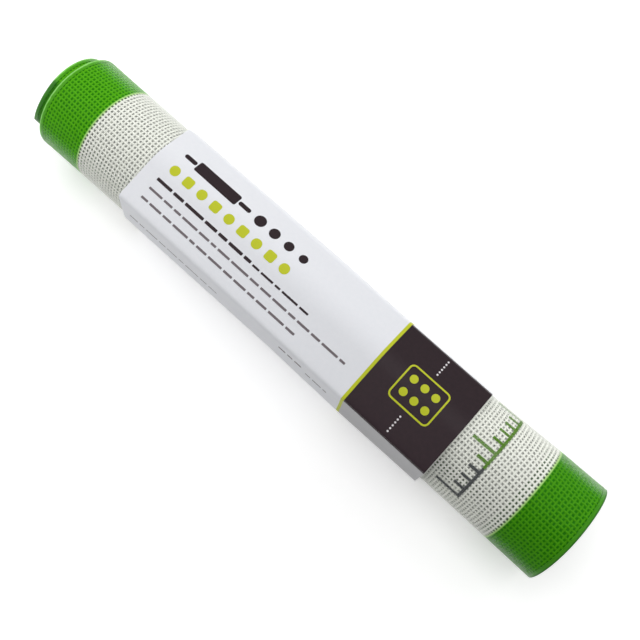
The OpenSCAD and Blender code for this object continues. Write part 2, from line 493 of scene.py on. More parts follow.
off_line = calc(tree, "ABSOLUTE", calc(tree, "SUBTRACT", from_edge, BORDER_W))
on_scale, count = scale_mask(tree, length, across)
in_green = calc(tree, "LESS_THAN", count, GREEN_TICKS - 0.5)
found = (
    from_edge,
    calc(tree, "SUBTRACT", 1.0, inside),
    calc(tree, "MAXIMUM", corner_depth, painted_right_shade),
    on_left,
    calc(tree, "SUBTRACT", 1.0, ramp(tree, off_line, LINE_W / 4, LINE_W)),
    calc(tree, "MULTIPLY", on_scale, in_green),
    calc(tree, "MULTIPLY", on_scale, calc(tree, "SUBTRACT", 1.0, in_green)),
)
for label, value in zip(labels, found):
    feed(tree, end.inputs[label], value)
print("the map of the sheet tells:", *labels)


# %% Reading the sheet's map
def on_sheet(tree):
    """A material's place on the flat sheet, and what the map says there."""
    place = tree.nodes.new("ShaderNodeUVMap")
    place.uv_map = "flat"
    return place.outputs["UV"], use(tree, sheet_map, Place=place.outputs["UV"])


def blotches(tree, place, per_mm):
    """A soft noise in millimetres of the flat sheet."""
    return cloudy(tree, scaled(tree, place, (SHEET_L, SHEET_W, 1)), per_mm)


# %% [markdown]
# ## Yarn
#
# Glass yarn soaked in silicone is a bundle of fine filaments under a satin skin. The base
# colour follows the sheet, each yarn differs a little from the next, and fine streaks run along
# it. The streaks need to know which way a yarn runs, so the two directions get a material each.

# %% Yarn
YARN_WHITE = screen(252, 253, 246)
YARN_CREAM = screen(242, 244, 232)
YARN_GREEN = screen(92, 182, 22)
YARN_DEEP = screen(72, 160, 8)
DEEPEST_GREEN_AND_SHADE = screen(30, 100, 8)
LINE_LIME = screen(190, 232, 140)
MARK_GREEN = screen(96, 150, 14)
MARK_GREY = screen(84, 88, 90)
FILAMENTS_PER_MM = 9.0
STREAKS_PER_MM = 0.6
FINE_TONE = 0.6
BROAD_TONE = 0.5
LINE_COVER = 0.8
YARN_MARK_COVER = 0.95


def yarn_look(name, streaks):
    """The finish of one direction's yarns. streaks stretches the fine pattern along them."""
    look, tree, shader = material(name)
    place, marks = on_sheet(tree)
    fine = cloudy(tree, scaled(tree, place, streaks), 1.0)
    broad = calc(tree, "MULTIPLY", blotches(tree, place, 0.35), BROAD_TONE)
    tone = calc(tree, "MULTIPLY_ADD", fine, FINE_TONE, broad, clamp=True)
    white = mix(tree, tone, YARN_CREAM, YARN_WHITE)
    green = mix(tree, tone, YARN_DEEP, YARN_GREEN)
    # Deepest green in the corners, and painted shade on the right half.
    green = mix(tree, marks.outputs["Depth"], green, DEEPEST_GREEN_AND_SHADE)
    colour = mix(tree, marks.outputs["Border"], white, green)
    for label, share, print_colour in (("Line", LINE_COVER, LINE_LIME),
                                       ("Green Mark", YARN_MARK_COVER, MARK_GREEN),
                                       ("Grey Mark", YARN_MARK_COVER, MARK_GREY)):
        cover = calc(tree, "MULTIPLY", marks.outputs[label], share)
        colour = mix(tree, cover, colour, print_colour)
    tree.links.new(colour, shader.inputs["Base Color"])
    roughened(tree, shader, fine, least=0.34, most=0.46)
    shader.inputs["Specular IOR Level"].default_value = 0.05
    bumped(tree, shader, fine, 0.03 * MM, 0.5)
    return look


along_streaks = (SHEET_L * STREAKS_PER_MM, SHEET_W * FILAMENTS_PER_MM, 1)
across_streaks = (SHEET_L * FILAMENTS_PER_MM, SHEET_W * STREAKS_PER_MM, 1)
long_yarn_look = yarn_look("long_yarn", along_streaks)
cross_yarn_look = yarn_look("cross_yarn", across_streaks)
print("yarn looks:", long_yarn_look.name, cross_yarn_look.name)

# %% [markdown]
# ## Silicone
#
# The clear silicone is a thin, slightly milky skin that shows what lies behind it. Seen at a
# slant it covers more and turns pale: partly the longer path through the milky skin, partly a
# painted sheen that stands in for the gloss of a clear coat. The green silicone in the holes of
# the border is coloured through and thick enough to hide what is behind it.

# %% Clear silicone
CLEAR_TINT = screen(232, 236, 230)
CLEAR_ALPHA = 0.06
# Painted sheen: how much pale cover the skin gains at a slant, a little less in the border.
PAINTED_SHEEN = 0.18
PAINTED_SHEEN_IN_BORDER = 0.78
SLANT_FROM = 0.38
SLANT_UNTIL = 0.9

clear_look, tree, shader = material("clear_silicone")
place, marks = on_sheet(tree)
colour = mix(tree, marks.outputs["Green Mark"], CLEAR_TINT, MARK_GREEN)
colour = mix(tree, marks.outputs["Grey Mark"], colour, MARK_GREY)
tree.links.new(colour, shader.inputs["Base Color"])
printed = calc(tree, "MAXIMUM", marks.outputs["Green Mark"], marks.outputs["Grey Mark"])
# Painted sheen: the pale cover grows with the slant and stands in for the reflection at a grazing
# view.
slant = tree.nodes.new("ShaderNodeLayerWeight")
slanted = ramp(tree, slant.outputs["Facing"], SLANT_FROM, SLANT_UNTIL)
share = calc(tree, "MULTIPLY_ADD", marks.outputs["Border"], PAINTED_SHEEN_IN_BORDER - 1, 1.0)
painted_sheen = calc(tree, "MULTIPLY", calc(tree, "MULTIPLY", slanted, PAINTED_SHEEN), share)
in_field = calc(tree, "SUBTRACT", 1.0, marks.outputs["Border"])
bare_cover = calc(tree, "MULTIPLY_ADD", in_field, CLEAR_ALPHA, painted_sheen)
cover = calc(tree, "MAXIMUM", bare_cover, calc(tree, "MULTIPLY", printed, MARK_COVER))
tree.links.new(cover, shader.inputs["Alpha"])
shader.inputs["Roughness"].default_value = 0.25
print("clear silicone covers", CLEAR_ALPHA)

# %% Green silicone
GREEN_HOLE = screen(44, 134, 2)
GREEN_HOLE_DARK = screen(30, 112, 1)
# Painted shade: the dark colour of the strip past the border, seen through the holes.
PAINTED_SHADE_STRIP = screen(34, 66, 16)

green_and_shade_look, tree, shader = material("green_silicone")
place, marks = on_sheet(tree)
spread = blotches(tree, place, 0.2)
green = mix(tree, spread, GREEN_HOLE_DARK, GREEN_HOLE)
# Deepest green in the corners, and painted shade on the right half.
green = mix(tree, marks.outputs["Depth"], green, DEEPEST_GREEN_AND_SHADE)
# Past the border the colour is painted shade, a dark strip that stands for the shade behind the
# holes.
tree.links.new(mix(tree, marks.outputs["Border"], PAINTED_SHADE_STRIP, green), shader.inputs["Base Color"])
roughened(tree, shader, spread, least=0.25, most=0.4)
shader.inputs["Specular IOR Level"].default_value = 0.05
print("green in the holes:", green_and_shade_look.name)

# %% Silicone of the sealed edge
SEAL_GREEN = screen(84, 172, 16)
SEAL_DEEP = screen(62, 146, 8)
# Painted highlight and shade on the rim: pale on the left end, dark on the right end.
PAINTED_RIM_HIGHLIGHT = screen(140, 214, 104)
PAINTED_RIM_SHADE = screen(52, 112, 30)
PAINTED_RIM_W = 0.9

seal_look, tree, shader = material("green_seal")
place, marks = on_sheet(tree)
spread = blotches(tree, place, 0.5)
green = mix(tree, spread, SEAL_DEEP, SEAL_GREEN)
# Painted highlight and shade: a pale rim along the left cut edge, where the light catches it, and
# a dark rim on the right, which faces away from it.
reach = calc(tree, "MULTIPLY_ADD", spread, PAINTED_RIM_W, PAINTED_RIM_W / 2)
past_painted_rim = ramp(tree, marks.outputs["Edge"], calc(tree, "MULTIPLY", reach, 0.5), reach)
painted_rim = calc(tree, "SUBTRACT", 1.0, past_painted_rim)
green = mix(tree, painted_rim, green, mix(tree, marks.outputs["Left"], PAINTED_RIM_SHADE, PAINTED_RIM_HIGHLIGHT))
# Deepest green in the corners, and painted shade on the right half.
green = mix(tree, marks.outputs["Depth"], green, DEEPEST_GREEN_AND_SHADE)
tree.links.new(green, shader.inputs["Base Color"])
roughened(tree, shader, spread, least=0.25, most=0.45)
shader.inputs["Specular IOR Level"].default_value = 0.15
print("painted rim light and shade in mm:", PAINTED_RIM_W)

# %% [markdown]
# ## Weaving the sheet
#
# In a plain weave each yarn goes over one crossing yarn and under the next. A yarn could be a
# bent curve with a bevel, but a grid that is wrapped into a flattened tube keeps its wide side
# flat on the sheet, also after the roll has bent it. Two neighbours, one up where the other is
# down, are the whole pattern, and the operator that duplicates them weaves the sheet.

# %% One pair of yarns
LONG_PITCH = 1.8
CROSS_PITCH = 1.96
YARN_WIDE = 0.94
YARN_THICK = 0.34
WEAVE_T = 0.6
YARN_SIDES = 6
MESH_W = SHEET_W - 2 * SEAL_W
MESH_L = SHEET_L - 2 * SEAL_W
LONG_YARNS = 2 * round(MESH_W / LONG_PITCH / 2)
CROSS_YARNS = 2 * round(MESH_L / CROSS_PITCH / 2)
ACROSS_STEP = MESH_W / LONG_YARNS
ALONG_STEP = MESH_L / CROSS_YARNS
LIFT = (WEAVE_T - YARN_THICK) / 2


def copied(bm, geom):
    """Duplicates geometry, and returns the vertices of the copy."""
    copy = bmesh.ops.duplicate(bm, geom=geom)["geom"]
    return [item for item in copy if isinstance(item, bmesh.types.BMVert)]


def yarn_pair(crossings, step, apart, first_up):
    """Two neighbouring yarns that lie flat along X, one up where the other is down."""
    bm = bmesh.new()
    bmesh.ops.create_grid(bm, x_segments=crossings + 1, y_segments=YARN_SIDES, size=0.5)
    for vert in bm.verts:
        ring = round((vert.co.x + 0.5) * (crossings + 1))
        turn = (vert.co.y + 0.5) * math.tau
        at_end = ring in (0, crossings + 1)
        lift = 0 if at_end else (LIFT if ring % 2 == first_up else -LIFT)
        middle = min(max(ring - 0.5, 0), crossings) * step
        vert.co = (middle, YARN_WIDE / 2 * math.cos(turn), lift + YARN_THICK / 2 * math.sin(turn))
    bmesh.ops.remove_doubles(bm, verts=bm.verts, dist=YARN_THICK / 50)
    bmesh.ops.holes_fill(bm, edges=[edge for edge in bm.edges if edge.is_boundary])
    neighbour = copied(bm, everything(bm))
    bmesh.ops.scale(bm, verts=neighbour, vec=(1, 1, -1))
    bmesh.ops.translate(bm, verts=neighbour, vec=(0, apart, 0))
    bmesh.ops.recalc_face_normals(bm, faces=bm.faces)
    return bm


def woven(pairs, apart, **pair):
    """Lays pairs of yarns side by side, starting at Y = 0."""
    bm = yarn_pair(apart=apart, **pair)
    first = everything(bm)
    for number in range(1, pairs):
        bmesh.ops.translate(bm, verts=copied(bm, first), vec=(0, 2 * apart * number, 0))
    return bm


print("yarns along and across:", LONG_YARNS, CROSS_YARNS)

# %% [markdown]
# ## Small faults in the weave
#
# A real weave is never a perfect grid: yarns drift a little from side to side, and each lies a
# hair off its place. A few slow waves and one seeded random offset for each yarn do that.

# %% Drift of the yarns
DRIFT = 0.16
SIDE_WAVES = (23.0, 31.0, 1.4, 7.3, 19.0)
LENGTH_WAVES = (27.0, 41.0, 1.1, 8.1, -29.0)
YARN_OFFSET = 0.05
chance = np.random.default_rng(7)
long_offsets = chance.normal(0, YARN_OFFSET, LONG_YARNS)
cross_offsets = chance.normal(0, YARN_OFFSET, CROSS_YARNS)


def waves(first, second, sizes):
    """A slow wave along one way of the sheet, bent along the other, and a faster, slanting one."""
    slow, bend_every, bend, fast, slant_every = sizes
    slow_wave = np.sin(first / slow + bend * np.sin(second / bend_every))
    return slow_wave + 0.5 * np.sin(first / fast + second / slant_every)


def drifted(flat):
    """Moves flat places by slow waves, the same for every yarn that passes."""
    length, across, height = flat.T
    lengthways = DRIFT * waves(across, length, LENGTH_WAVES)
    sideways = DRIFT * waves(length, across, SIDE_WAVES)
    return np.stack([length + lengthways, across + sideways, height], 1)


def roll_yarns(flat, axis, first_edge, step, offsets):
    """Rolls yarns that are counted along an axis, each with its own offset."""
    number = np.clip(((flat[:, axis] - first_edge) // step).astype(int), 0, len(offsets) - 1)
    moved = flat.copy()
    moved[:, axis] += offsets[number]
    return rolled(drifted(moved))


def roll_long_yarns(flat):
    """Rolls the yarns that run along the sheet."""
    return roll_yarns(flat, 1, -MESH_W / 2, ACROSS_STEP, long_offsets)


def roll_cross_yarns(flat):
    """Rolls the yarns that run across the sheet."""
    return roll_yarns(flat, 0, SEAL_W, ALONG_STEP, cross_offsets)


print("largest offset of a yarn:", round(float(np.abs(long_offsets).max()), 2))

# %% [markdown]
# ## Yarns along the sheet
#
# These wind round and round with the roll. They are laid in three bands, because one mesh of
# them all would be heavier than a single piece should be.

# %% Yarns along the sheet
ROLL_SPAN = (SHEET_L, SHEET_W)
ROLL_BODY = "rolled_liner"


def long_yarns(name, first, count):
    """A band of yarns along the sheet, from one yarn number on."""
    bm = woven(count // 2, ACROSS_STEP, crossings=CROSS_YARNS, step=ALONG_STEP, first_up=1)
    shift = (SEAL_W, (first + 0.5) * ACROSS_STEP - MESH_W / 2, 0)
    bmesh.ops.translate(bm, verts=bm.verts, vec=shift)
    return finished(name, bm, roll_long_yarns, ROLL_SPAN, ROLL_BODY,
                    ["glass_fibre_mesh"], long_yarn_look)


def in_bands(lay, names, count):
    """Lays the yarns of one direction as three pieces, each of whole pairs."""
    third = count // 6 * 2
    sizes = (third, third, count - 2 * third)
    return [lay(name, third * i, size) for i, (name, size) in enumerate(zip(names, sizes))]


long_names = ("long_yarns_left", "long_yarns_middle", "long_yarns_right")
yarns = in_bands(long_yarns, long_names, LONG_YARNS)

# %% [markdown]
# ## Yarns across the sheet
#
# These run along the roll. The same pair is laid along Y by turning it a quarter round, and it
# starts the other way up, so that it passes under where the first yarns pass over.


# %% Yarns across the sheet
def cross_yarns(name, first, count):
    """A band of yarns across the sheet, from one yarn number on."""
    bm = woven(count // 2, ALONG_STEP, crossings=LONG_YARNS, step=ACROSS_STEP, first_up=0)
    quarter = Matrix.Rotation(math.pi / 2, 4, "Z")
    bmesh.ops.transform(bm, verts=bm.verts, matrix=quarter)
    bmesh.ops.scale(bm, verts=bm.verts, vec=(-1, 1, 1))
    bmesh.ops.reverse_faces(bm, faces=bm.faces)
    shift = (SEAL_W + (first + 0.5) * ALONG_STEP, -MESH_W / 2, 0)
    bmesh.ops.translate(bm, verts=bm.verts, vec=shift)
    return finished(name, bm, roll_cross_yarns, ROLL_SPAN, ROLL_BODY,
                    ["glass_fibre_mesh"], cross_yarn_look)


cross_names = ("cross_yarns_outer", "cross_yarns_middle", "cross_yarns_inner")
yarns += in_bands(cross_yarns, cross_names, CROSS_YARNS)

# %% [markdown]
# ## Silicone skins
#
# Each skin is a flat rectangle or frame. It is cut into narrow strips so that it can follow the
# roll, thickened with the solidify operator, and rolled. The clear skin is the smooth outer face
# that lies over the yarns.

# %% Silicone skins
STRIP = 2.0
COLUMN = 12.0
CLEAR_LOW = 0.31
CLEAR_HIGH = 0.345


def flat_frame(margin, bands, low, high):
    """A flat rectangle inside the sheet's edge, from one height to another. bands are the widths
    that stay at the two ends, on the left and on the right, or None for a full rectangle."""
    bm = bmesh.new()
    bmesh.ops.create_grid(bm, x_segments=1, y_segments=1, size=0.5)
    bmesh.ops.scale(bm, verts=bm.verts, vec=(SHEET_L - 2 * margin, SHEET_W - 2 * margin, 1))
    bmesh.ops.translate(bm, verts=bm.verts, vec=(SHEET_L / 2, 0, high))
    strips = [margin + STRIP * i for i in range(1, math.ceil((SHEET_L - 2 * margin) / STRIP))]
    columns = [COLUMN * i - SHEET_W / 2 for i in range(1, math.ceil(SHEET_W / COLUMN))]
    if bands:
        ends, left, right = bands
        inner_length = (margin + ends, SHEET_L - margin - ends)
        inner_side = (margin + left - SHEET_W / 2, SHEET_W / 2 - margin - right)
        strips = [s for s in strips if min(abs(s - edge) for edge in inner_length) > STRIP / 4]
        columns = [c for c in columns if min(abs(c - edge) for edge in inner_side) > COLUMN / 8]
        cut_along(bm, inner_length, 0)
        cut_along(bm, inner_side, 1)
    cut_along(bm, strips, 0)
    cut_along(bm, columns, 1)
    if bands:
        middles = [(face, face.calc_center_median()) for face in bm.faces]
        inner = [face for face, middle in middles
                 if inner_length[0] < middle.x < inner_length[1]
                 and inner_side[0] < middle.y < inner_side[1]]
        bmesh.ops.delete(bm, geom=inner, context="FACES")
    bmesh.ops.solidify(bm, geom=bm.faces[:], thickness=high - low)
    bmesh.ops.recalc_face_normals(bm, faces=bm.faces)
    return bm


def roll_skin(flat):
    """Rolls a skin together with the drift of the yarns in it."""
    return rolled(drifted(flat))


def skin(name, bm, replaced, look):
    """A rolled skin of silicone."""
    return finished(name, bm, roll_skin, ROLL_SPAN, ROLL_BODY, replaced, look)


clear_skin = skin("clear_silicone_skin", flat_frame(SEAL_W / 2, None, CLEAR_LOW, CLEAR_HIGH),
                  ["outer_silicone_coat", "inner_silicone_coat"], clear_look)

# %% [markdown]
# ## Green bands
#
# In the border the holes are filled with green silicone. It is printed on both faces, so it is
# two thin frames, back to back in the middle of the weave. The back frame reaches a little
# further in, most on the right, and past the border it is a dark strip of painted shade, so the
# holes there look dark.

# %% Green bands
GREEN_T = 0.05
# How far the strip of painted shade reaches past the border.
SHADE_STRIP_RIGHT = 4.5
SHADE_STRIP_LEFT = 1.3
EMBEDDED = 0.3
start_band = SEAL_W - EMBEDDED
band_w = BORDER_W - start_band
outer_band = flat_frame(start_band, (band_w, band_w, band_w), 0, GREEN_T)
bands_with_shade_strip = (band_w, band_w + SHADE_STRIP_LEFT, band_w + SHADE_STRIP_RIGHT)
inner_band_with_shade = flat_frame(start_band, bands_with_shade_strip, -GREEN_T, 0)
green_bands = [
    skin("outer_green_band", outer_band, ["outer_green_border"], green_and_shade_look),
    skin("inner_green_band_and_shade", inner_band_with_shade, ["inner_green_border"], green_and_shade_look),
]

# %% [markdown]
# ## Sealed edge
#
# Round the cut edge runs a margin of plain green silicone without yarn. It is a narrow frame,
# as thick as the weave, and the bevel operator rounds the edges of its rim.

# %% Sealed edge
SEAL_T = 0.62
RIM_ROUND = 0.24
NEARLY = 0.01
seal = flat_frame(0, (SEAL_W,) * 3, -SEAL_T / 2, SEAL_T / 2)
rim = []
for edge in seal.edges:
    middle = (edge.verts[0].co + edge.verts[1].co) / 2
    at_end = abs(middle.x - SHEET_L / 2) > SHEET_L / 2 - NEARLY
    at_side = abs(middle.y) > SHEET_W / 2 - NEARLY
    level = abs(edge.verts[0].co.z - edge.verts[1].co.z) < NEARLY
    if level and (at_end or at_side):
        rim.append(edge)
bmesh.ops.bevel(seal, geom=rim, offset=RIM_ROUND, affect="EDGES", segments=3, profile=0.5,
                material=-1)
edge_seal = skin("green_sealed_edge", seal, ["green_edge_seal"], seal_look)

# %% [markdown]
# ## The card sleeve
#
# One card goes round the roll. Between its four creases it touches the roll, and at each crease
# it stands off, so seen from the end it is a square with round sides. As a distance from the
# roll's axis that is a short formula: the straight stretch that runs up to a crease is the
# radius divided by the cosine of the angle from where it leaves the roll.

# %% Outline of the card
CREASE_ANGLE = 46.0
NEAR_RISE = 6.9
FAR_RISE = 3.35
LOWER_RISE = 9.0
FOLD_SOFT = 1.3
FLAP_W = 12.0
GLUE_T = 0.1
FOLD_R = 0.6
FOLD_POINTS = 5
PATH_STEP = 1.0
CARD_R = ROLL_R + SLEEVE_GAP + CARD_T


def stand_off(rise):
    """Half the angle over which a crease that rises so far lifts the card off its round."""
    return math.degrees(math.acos(CARD_R / (CARD_R + rise)))


lower_half = stand_off(LOWER_RISE)
creases = [
    (-CREASE_ANGLE, stand_off(NEAR_RISE)),
    (CREASE_ANGLE, stand_off(FAR_RISE)),
    (lower_half - 180, lower_half),
    (180 - lower_half, lower_half),
]
SEAM_Y = (CARD_R - CARD_T) * math.tan(math.radians(lower_half))
start_angle = math.degrees(math.atan2(SEAM_Y, -CARD_R)) - 360


def card_radius(angle):
    """Distance of the card's outer face from the roll's axis, at an angle from the top."""
    lean = 0.0
    for crease, half in creases:
        for turn in (-360, 0, 360):
            off = math.hypot(angle - crease - turn, FOLD_SOFT)
            lean = max(lean, half - off)
    return CARD_R / math.cos(math.radians(lean))


def card_outline():
    """Points round the card's outer face, from the seam, over the front, to the flap's end."""
    points = []
    flap_z = CARD_T + GLUE_T - CARD_R
    angle = start_angle
    while angle < 180 - lower_half + 1:
        turn = math.radians(angle)
        point = card_radius(angle) * Vector((math.sin(turn), math.cos(turn)))
        if angle > 90 and point.y < flap_z + FOLD_R:
            break
        points.append(point)
        angle += PATH_STEP
    corner = Vector((points[-1].x, flap_z))
    above, beside = corner + Vector((0, FOLD_R)), corner - Vector((FOLD_R, 0))
    for share in np.linspace(0, 1, FOLD_POINTS):
        points.append(above.lerp(corner, share).lerp(corner.lerp(beside, share), share))
    points.append(Vector((SEAM_Y - FLAP_W, flap_z)))
    return points


outline = np.array(card_outline())
print("points round the card:", len(outline))

# %% [markdown]
# ## Folding
#
# The outline, measured along itself, says where each place of the flat card goes. The sleeve
# also sits a little twisted: its upper creases wander round the roll from one end to the other,
# while the back stays flat on the table. Towards the right it sits over to the near side, so its
# near side stands off the roll and its far side is pressed against it.

# %% Measuring the outline
steps = np.hypot(*np.diff(outline, axis=0).T)
developed = np.concatenate([[0], np.cumsum(steps)])
tangent = np.gradient(outline, axis=0)
tangent /= np.hypot(*tangent.T)[:, None]
outward = np.stack([-tangent[:, 1], tangent[:, 0]], 1)
angles = np.unwrap(np.arctan2(outline[:, 0], outline[:, 1]))
angles -= math.tau * round((np.degrees(angles[0]) - start_angle) / 360)
top = float(np.interp(0.0, angles, developed))
developed -= top
SLEEVE_LEFT = card_low.x / MM
SLEEVE_RIGHT = card_high.x / MM
SLEEVE_L = SLEEVE_RIGHT - SLEEVE_LEFT
print("length round the card:", round(developed[-1] - developed[0], 1))

# %% Folding
TWIST_LEFT = 0.7
TWIST_RIGHT = -3.1
TWIST_FREE = 60.0
TWIST_FIXED = 95.0
NEAR_SHIFT = (-92.0, 0.9)
FAR_SHIFT = (84.0, 0.85)
SHIFT_REACH = 42.0
SHIFT_FROM = 0.45
SHIFT_UNTIL = 0.75


def folded(flat):
    """Folds the card. A flat place is place along the roll, place round the card and height."""
    along, round_it, height = flat.T
    y, z = [np.interp(round_it, developed, outline[:, i])
            + height * np.interp(round_it, developed, outward[:, i]) for i in range(2)]
    angle = np.degrees(np.arctan2(y, z))
    free = eased(-np.abs(angle), -TWIST_FIXED, -TWIST_FREE)
    share = (along - SLEEVE_LEFT) / SLEEVE_L
    twist = np.radians(TWIST_LEFT + (TWIST_RIGHT - TWIST_LEFT) * share) * free
    over = eased(share, SHIFT_FROM, SHIFT_UNTIL)
    for side, shift in (NEAR_SHIFT, FAR_SHIFT):
        window = np.cos(np.clip((angle - side) / SHIFT_REACH, -1, 1) * math.pi / 2) ** 2
        y = y - shift * over * window
    turned_y = y * np.cos(twist) + z * np.sin(twist)
    turned_z = z * np.cos(twist) - y * np.sin(twist)
    return np.stack([along, turned_y, AXIS_H + turned_z], 1) * MM


def place_of(angle_deg):
    """Place round the card, measured from the top, at an angle."""
    before_flap = len(angles) - FOLD_POINTS - 1
    return float(np.interp(math.radians(angle_deg), angles[:before_flap], developed[:before_flap]))


NEAR_CREASE, FAR_CREASE, LOWER_NEAR, LOWER_FAR = [place_of(crease) for crease, half in creases]
print("front panel from", round(NEAR_CREASE, 2), "to", round(FAR_CREASE, 2))

# %% [markdown]
# ## Card and ink
#
# The card is a coated board: nearly smooth, a little blue, with a faint mottle of fibres. Ink on
# it has a light sheen. Where the board was creased, its coating cracks and shows paper.

# %% Coated board
CARD_WHITE = screen(235, 236, 240)
CARD_SHADE = screen(229, 231, 236)
FIBRE_WHITE = screen(244, 244, 242)
CREASE_W = 0.35
MOTTLE_PER_MM = 0.6
GRAIN_PER_MM = 9.0
CRACKED_GRAIN = (0.42, 0.62)
BOARD_ROUGH = 0.36
GRAIN_ROUGH = 0.2
CRACK_ROUGH = 0.3
CRACK_DEPTH = 0.6

inputs = [("Place", "NodeSocketVector"), ("Crease", "NodeSocketFloat"),
          ("Colour", "NodeSocketColor"), ("Shade", "NodeSocketColor")]
outputs = [("Colour", "NodeSocketColor"), ("Roughness", "NodeSocketFloat"),
           ("Height", "NodeSocketFloat")]
board, start, end = group("board", inputs, outputs)
in_mm = scaled(board, start.outputs["Place"], (1 / MM,) * 3)
mottle = cloudy(board, in_mm, MOTTLE_PER_MM, detail=4.0)
grain = cloudy(board, in_mm, GRAIN_PER_MM, detail=3.0)
base = mix(board, mottle, start.outputs["Shade"], start.outputs["Colour"])
near_crease = ramp(board, start.outputs["Crease"], CREASE_W, 0.0)
crack = calc(board, "MULTIPLY", near_crease, ramp(board, grain, *CRACKED_GRAIN))
feed(board, end.inputs["Colour"], mix(board, crack, base, FIBRE_WHITE))
rough = calc(board, "MULTIPLY_ADD", grain, GRAIN_ROUGH, BOARD_ROUGH)
feed(board, end.inputs["Roughness"], calc(board, "MULTIPLY_ADD", crack, CRACK_ROUGH, rough))
feed(board, end.inputs["Height"], calc(board, "MULTIPLY_ADD", crack, -CRACK_DEPTH, grain))
print("sockets of the board:", [socket.name for socket in end.inputs if socket.name])

# %% Card and ink
INK_DARK = screen(43, 27, 33)
INK_DARKER = screen(31, 18, 24)
INK_TINT = screen(183, 183, 185)
INK_LIME = screen(192, 199, 38)
INK_PALE = screen(226, 222, 224)
INK_GREY = screen(112, 104, 108)


def board_look(name, colour, shade):
    """A finish of bare or printed board."""
    look, tree, shader = material(name)
    place = tree.nodes.new("ShaderNodeTexCoord")
    crease = tree.nodes.new("ShaderNodeAttribute")
    crease.attribute_name = "crease"
    made = use(tree, board, Place=place.outputs["Object"], Colour=colour, Shade=shade,
               Crease=crease.outputs["Fac"])
    tree.links.new(made.outputs["Colour"], shader.inputs["Base Color"])
    tree.links.new(made.outputs["Roughness"], shader.inputs["Roughness"])
    shader.inputs["Specular IOR Level"].default_value = 0.2
    bumped(tree, shader, made.outputs["Height"], 0.02 * MM, 0.35)
    return look


card_look = board_look("coated_card", CARD_WHITE, CARD_SHADE)
dark_look = board_look("dark_ink", INK_DARK, INK_DARKER)
lime_look = board_look("lime_ink", INK_LIME, INK_LIME)
pale_look = board_look("pale_ink", INK_PALE, INK_PALE)
tint_look = board_look("grey_tint", INK_TINT, INK_TINT)
rule_look = board_look("grey_ink", INK_GREY, INK_GREY)
board_looks = (card_look, dark_look, lime_look, pale_look, tint_look, rule_look)
print("board looks:", [look.name for look in board_looks])

# %% Distance from a crease
CARD_SPAN = (SLEEVE_L, 2 * max(-developed[0], developed[-1]))


def note_creases(piece, places):
    """Keeps each vertex's distance from the nearest crease, in millimetres, for the finish."""
    lines = np.array([NEAR_CREASE, FAR_CREASE, LOWER_NEAR, LOWER_FAR])
    distance = np.abs(places[:, None] - lines[None]).min(1)
    piece.data.attributes.new("crease", "FLOAT", "POINT").data.foreach_set("value", distance)


def folded_piece(name, bm, replaced, look):
    """Folds a flat mesh into a piece of the sleeve."""
    places = np.array([vert.co.y for vert in bm.verts])
    piece = finished(name, bm, folded, CARD_SPAN, "sleeve", replaced, look)
    note_creases(piece, places)
    return piece


# %% [markdown]
# ## Cutting the card
#
# The flat card is one rectangle. It is cut at every point of the outline, so that each fold
# falls on an edge, and thickened inwards before it is folded.

# %% Cutting the card
CARD_COLUMNS = 45
card = bmesh.new()
bmesh.ops.create_grid(card, x_segments=CARD_COLUMNS, y_segments=len(developed) - 1, size=0.5)
for vert in card.verts:
    row = round((vert.co.y + 0.5) * (len(developed) - 1))
    vert.co = (SLEEVE_LEFT + (vert.co.x + 0.5) * SLEEVE_L, developed[row], 0)
bmesh.ops.translate(card, verts=card.verts, vec=(0, 0, -CARD_T))
bmesh.ops.solidify(card, geom=card.faces[:], thickness=-CARD_T)
bmesh.ops.recalc_face_normals(card, faces=card.faces)
sleeve = folded_piece("folded_card", card, ["card_sleeve"], card_look)

# %% [markdown]
# ## Printing
#
# A print is ink on the card, so each mark is cut from a flat sheet a few hundredths of a
# millimetre thick and folded with the same function. The marks are plain shapes: bars with
# round ends, discs and outlines.

# %% Printing
INK_T = 0.03
DISC_SEGMENTS = 40
CORNER_SEGMENTS = 6


def flat_plate(bm, coats=1):
    """Cuts a flat mark at the card's own folds and gives it the thickness of its coats of ink."""
    low = min(vert.co.y for vert in bm.verts)
    high = max(vert.co.y for vert in bm.verts)
    cut_along(bm, [place for place in developed if low < place < high], 1)
    left = min(vert.co.x for vert in bm.verts)
    right = max(vert.co.x for vert in bm.verts)
    columns = [SLEEVE_LEFT + SLEEVE_L * i / CARD_COLUMNS for i in range(CARD_COLUMNS)]
    cut_along(bm, [place for place in columns if left < place < right], 0)
    bmesh.ops.solidify(bm, geom=bm.faces[:], thickness=-INK_T * coats)
    bmesh.ops.recalc_face_normals(bm, faces=bm.faces)
    return bm


def add_bar(bm, left, right, low, high, corner=0.0):
    """A rectangle with round corners."""
    made = bmesh.ops.create_grid(bm, x_segments=1, y_segments=1, size=0.5)["verts"]
    bmesh.ops.scale(bm, verts=made, vec=(right - left, high - low, 1))
    bmesh.ops.translate(bm, verts=made, vec=((left + right) / 2, (low + high) / 2, 0))
    if corner:
        bmesh.ops.bevel(bm, geom=made, offset=corner, affect="VERTICES",
                        segments=CORNER_SEGMENTS, profile=0.5, material=-1)


def add_rod(bm, left, right, middle, thick, corner):
    """A bar that lies along a middle line."""
    add_bar(bm, left, right, middle - thick / 2, middle + thick / 2, corner)


def add_disc(bm, x, y, radius):
    """A disc."""
    made = bmesh.ops.create_circle(bm, cap_ends=True, segments=DISC_SEGMENTS, radius=radius)
    bmesh.ops.translate(bm, verts=made["verts"], vec=(x, y, 0))


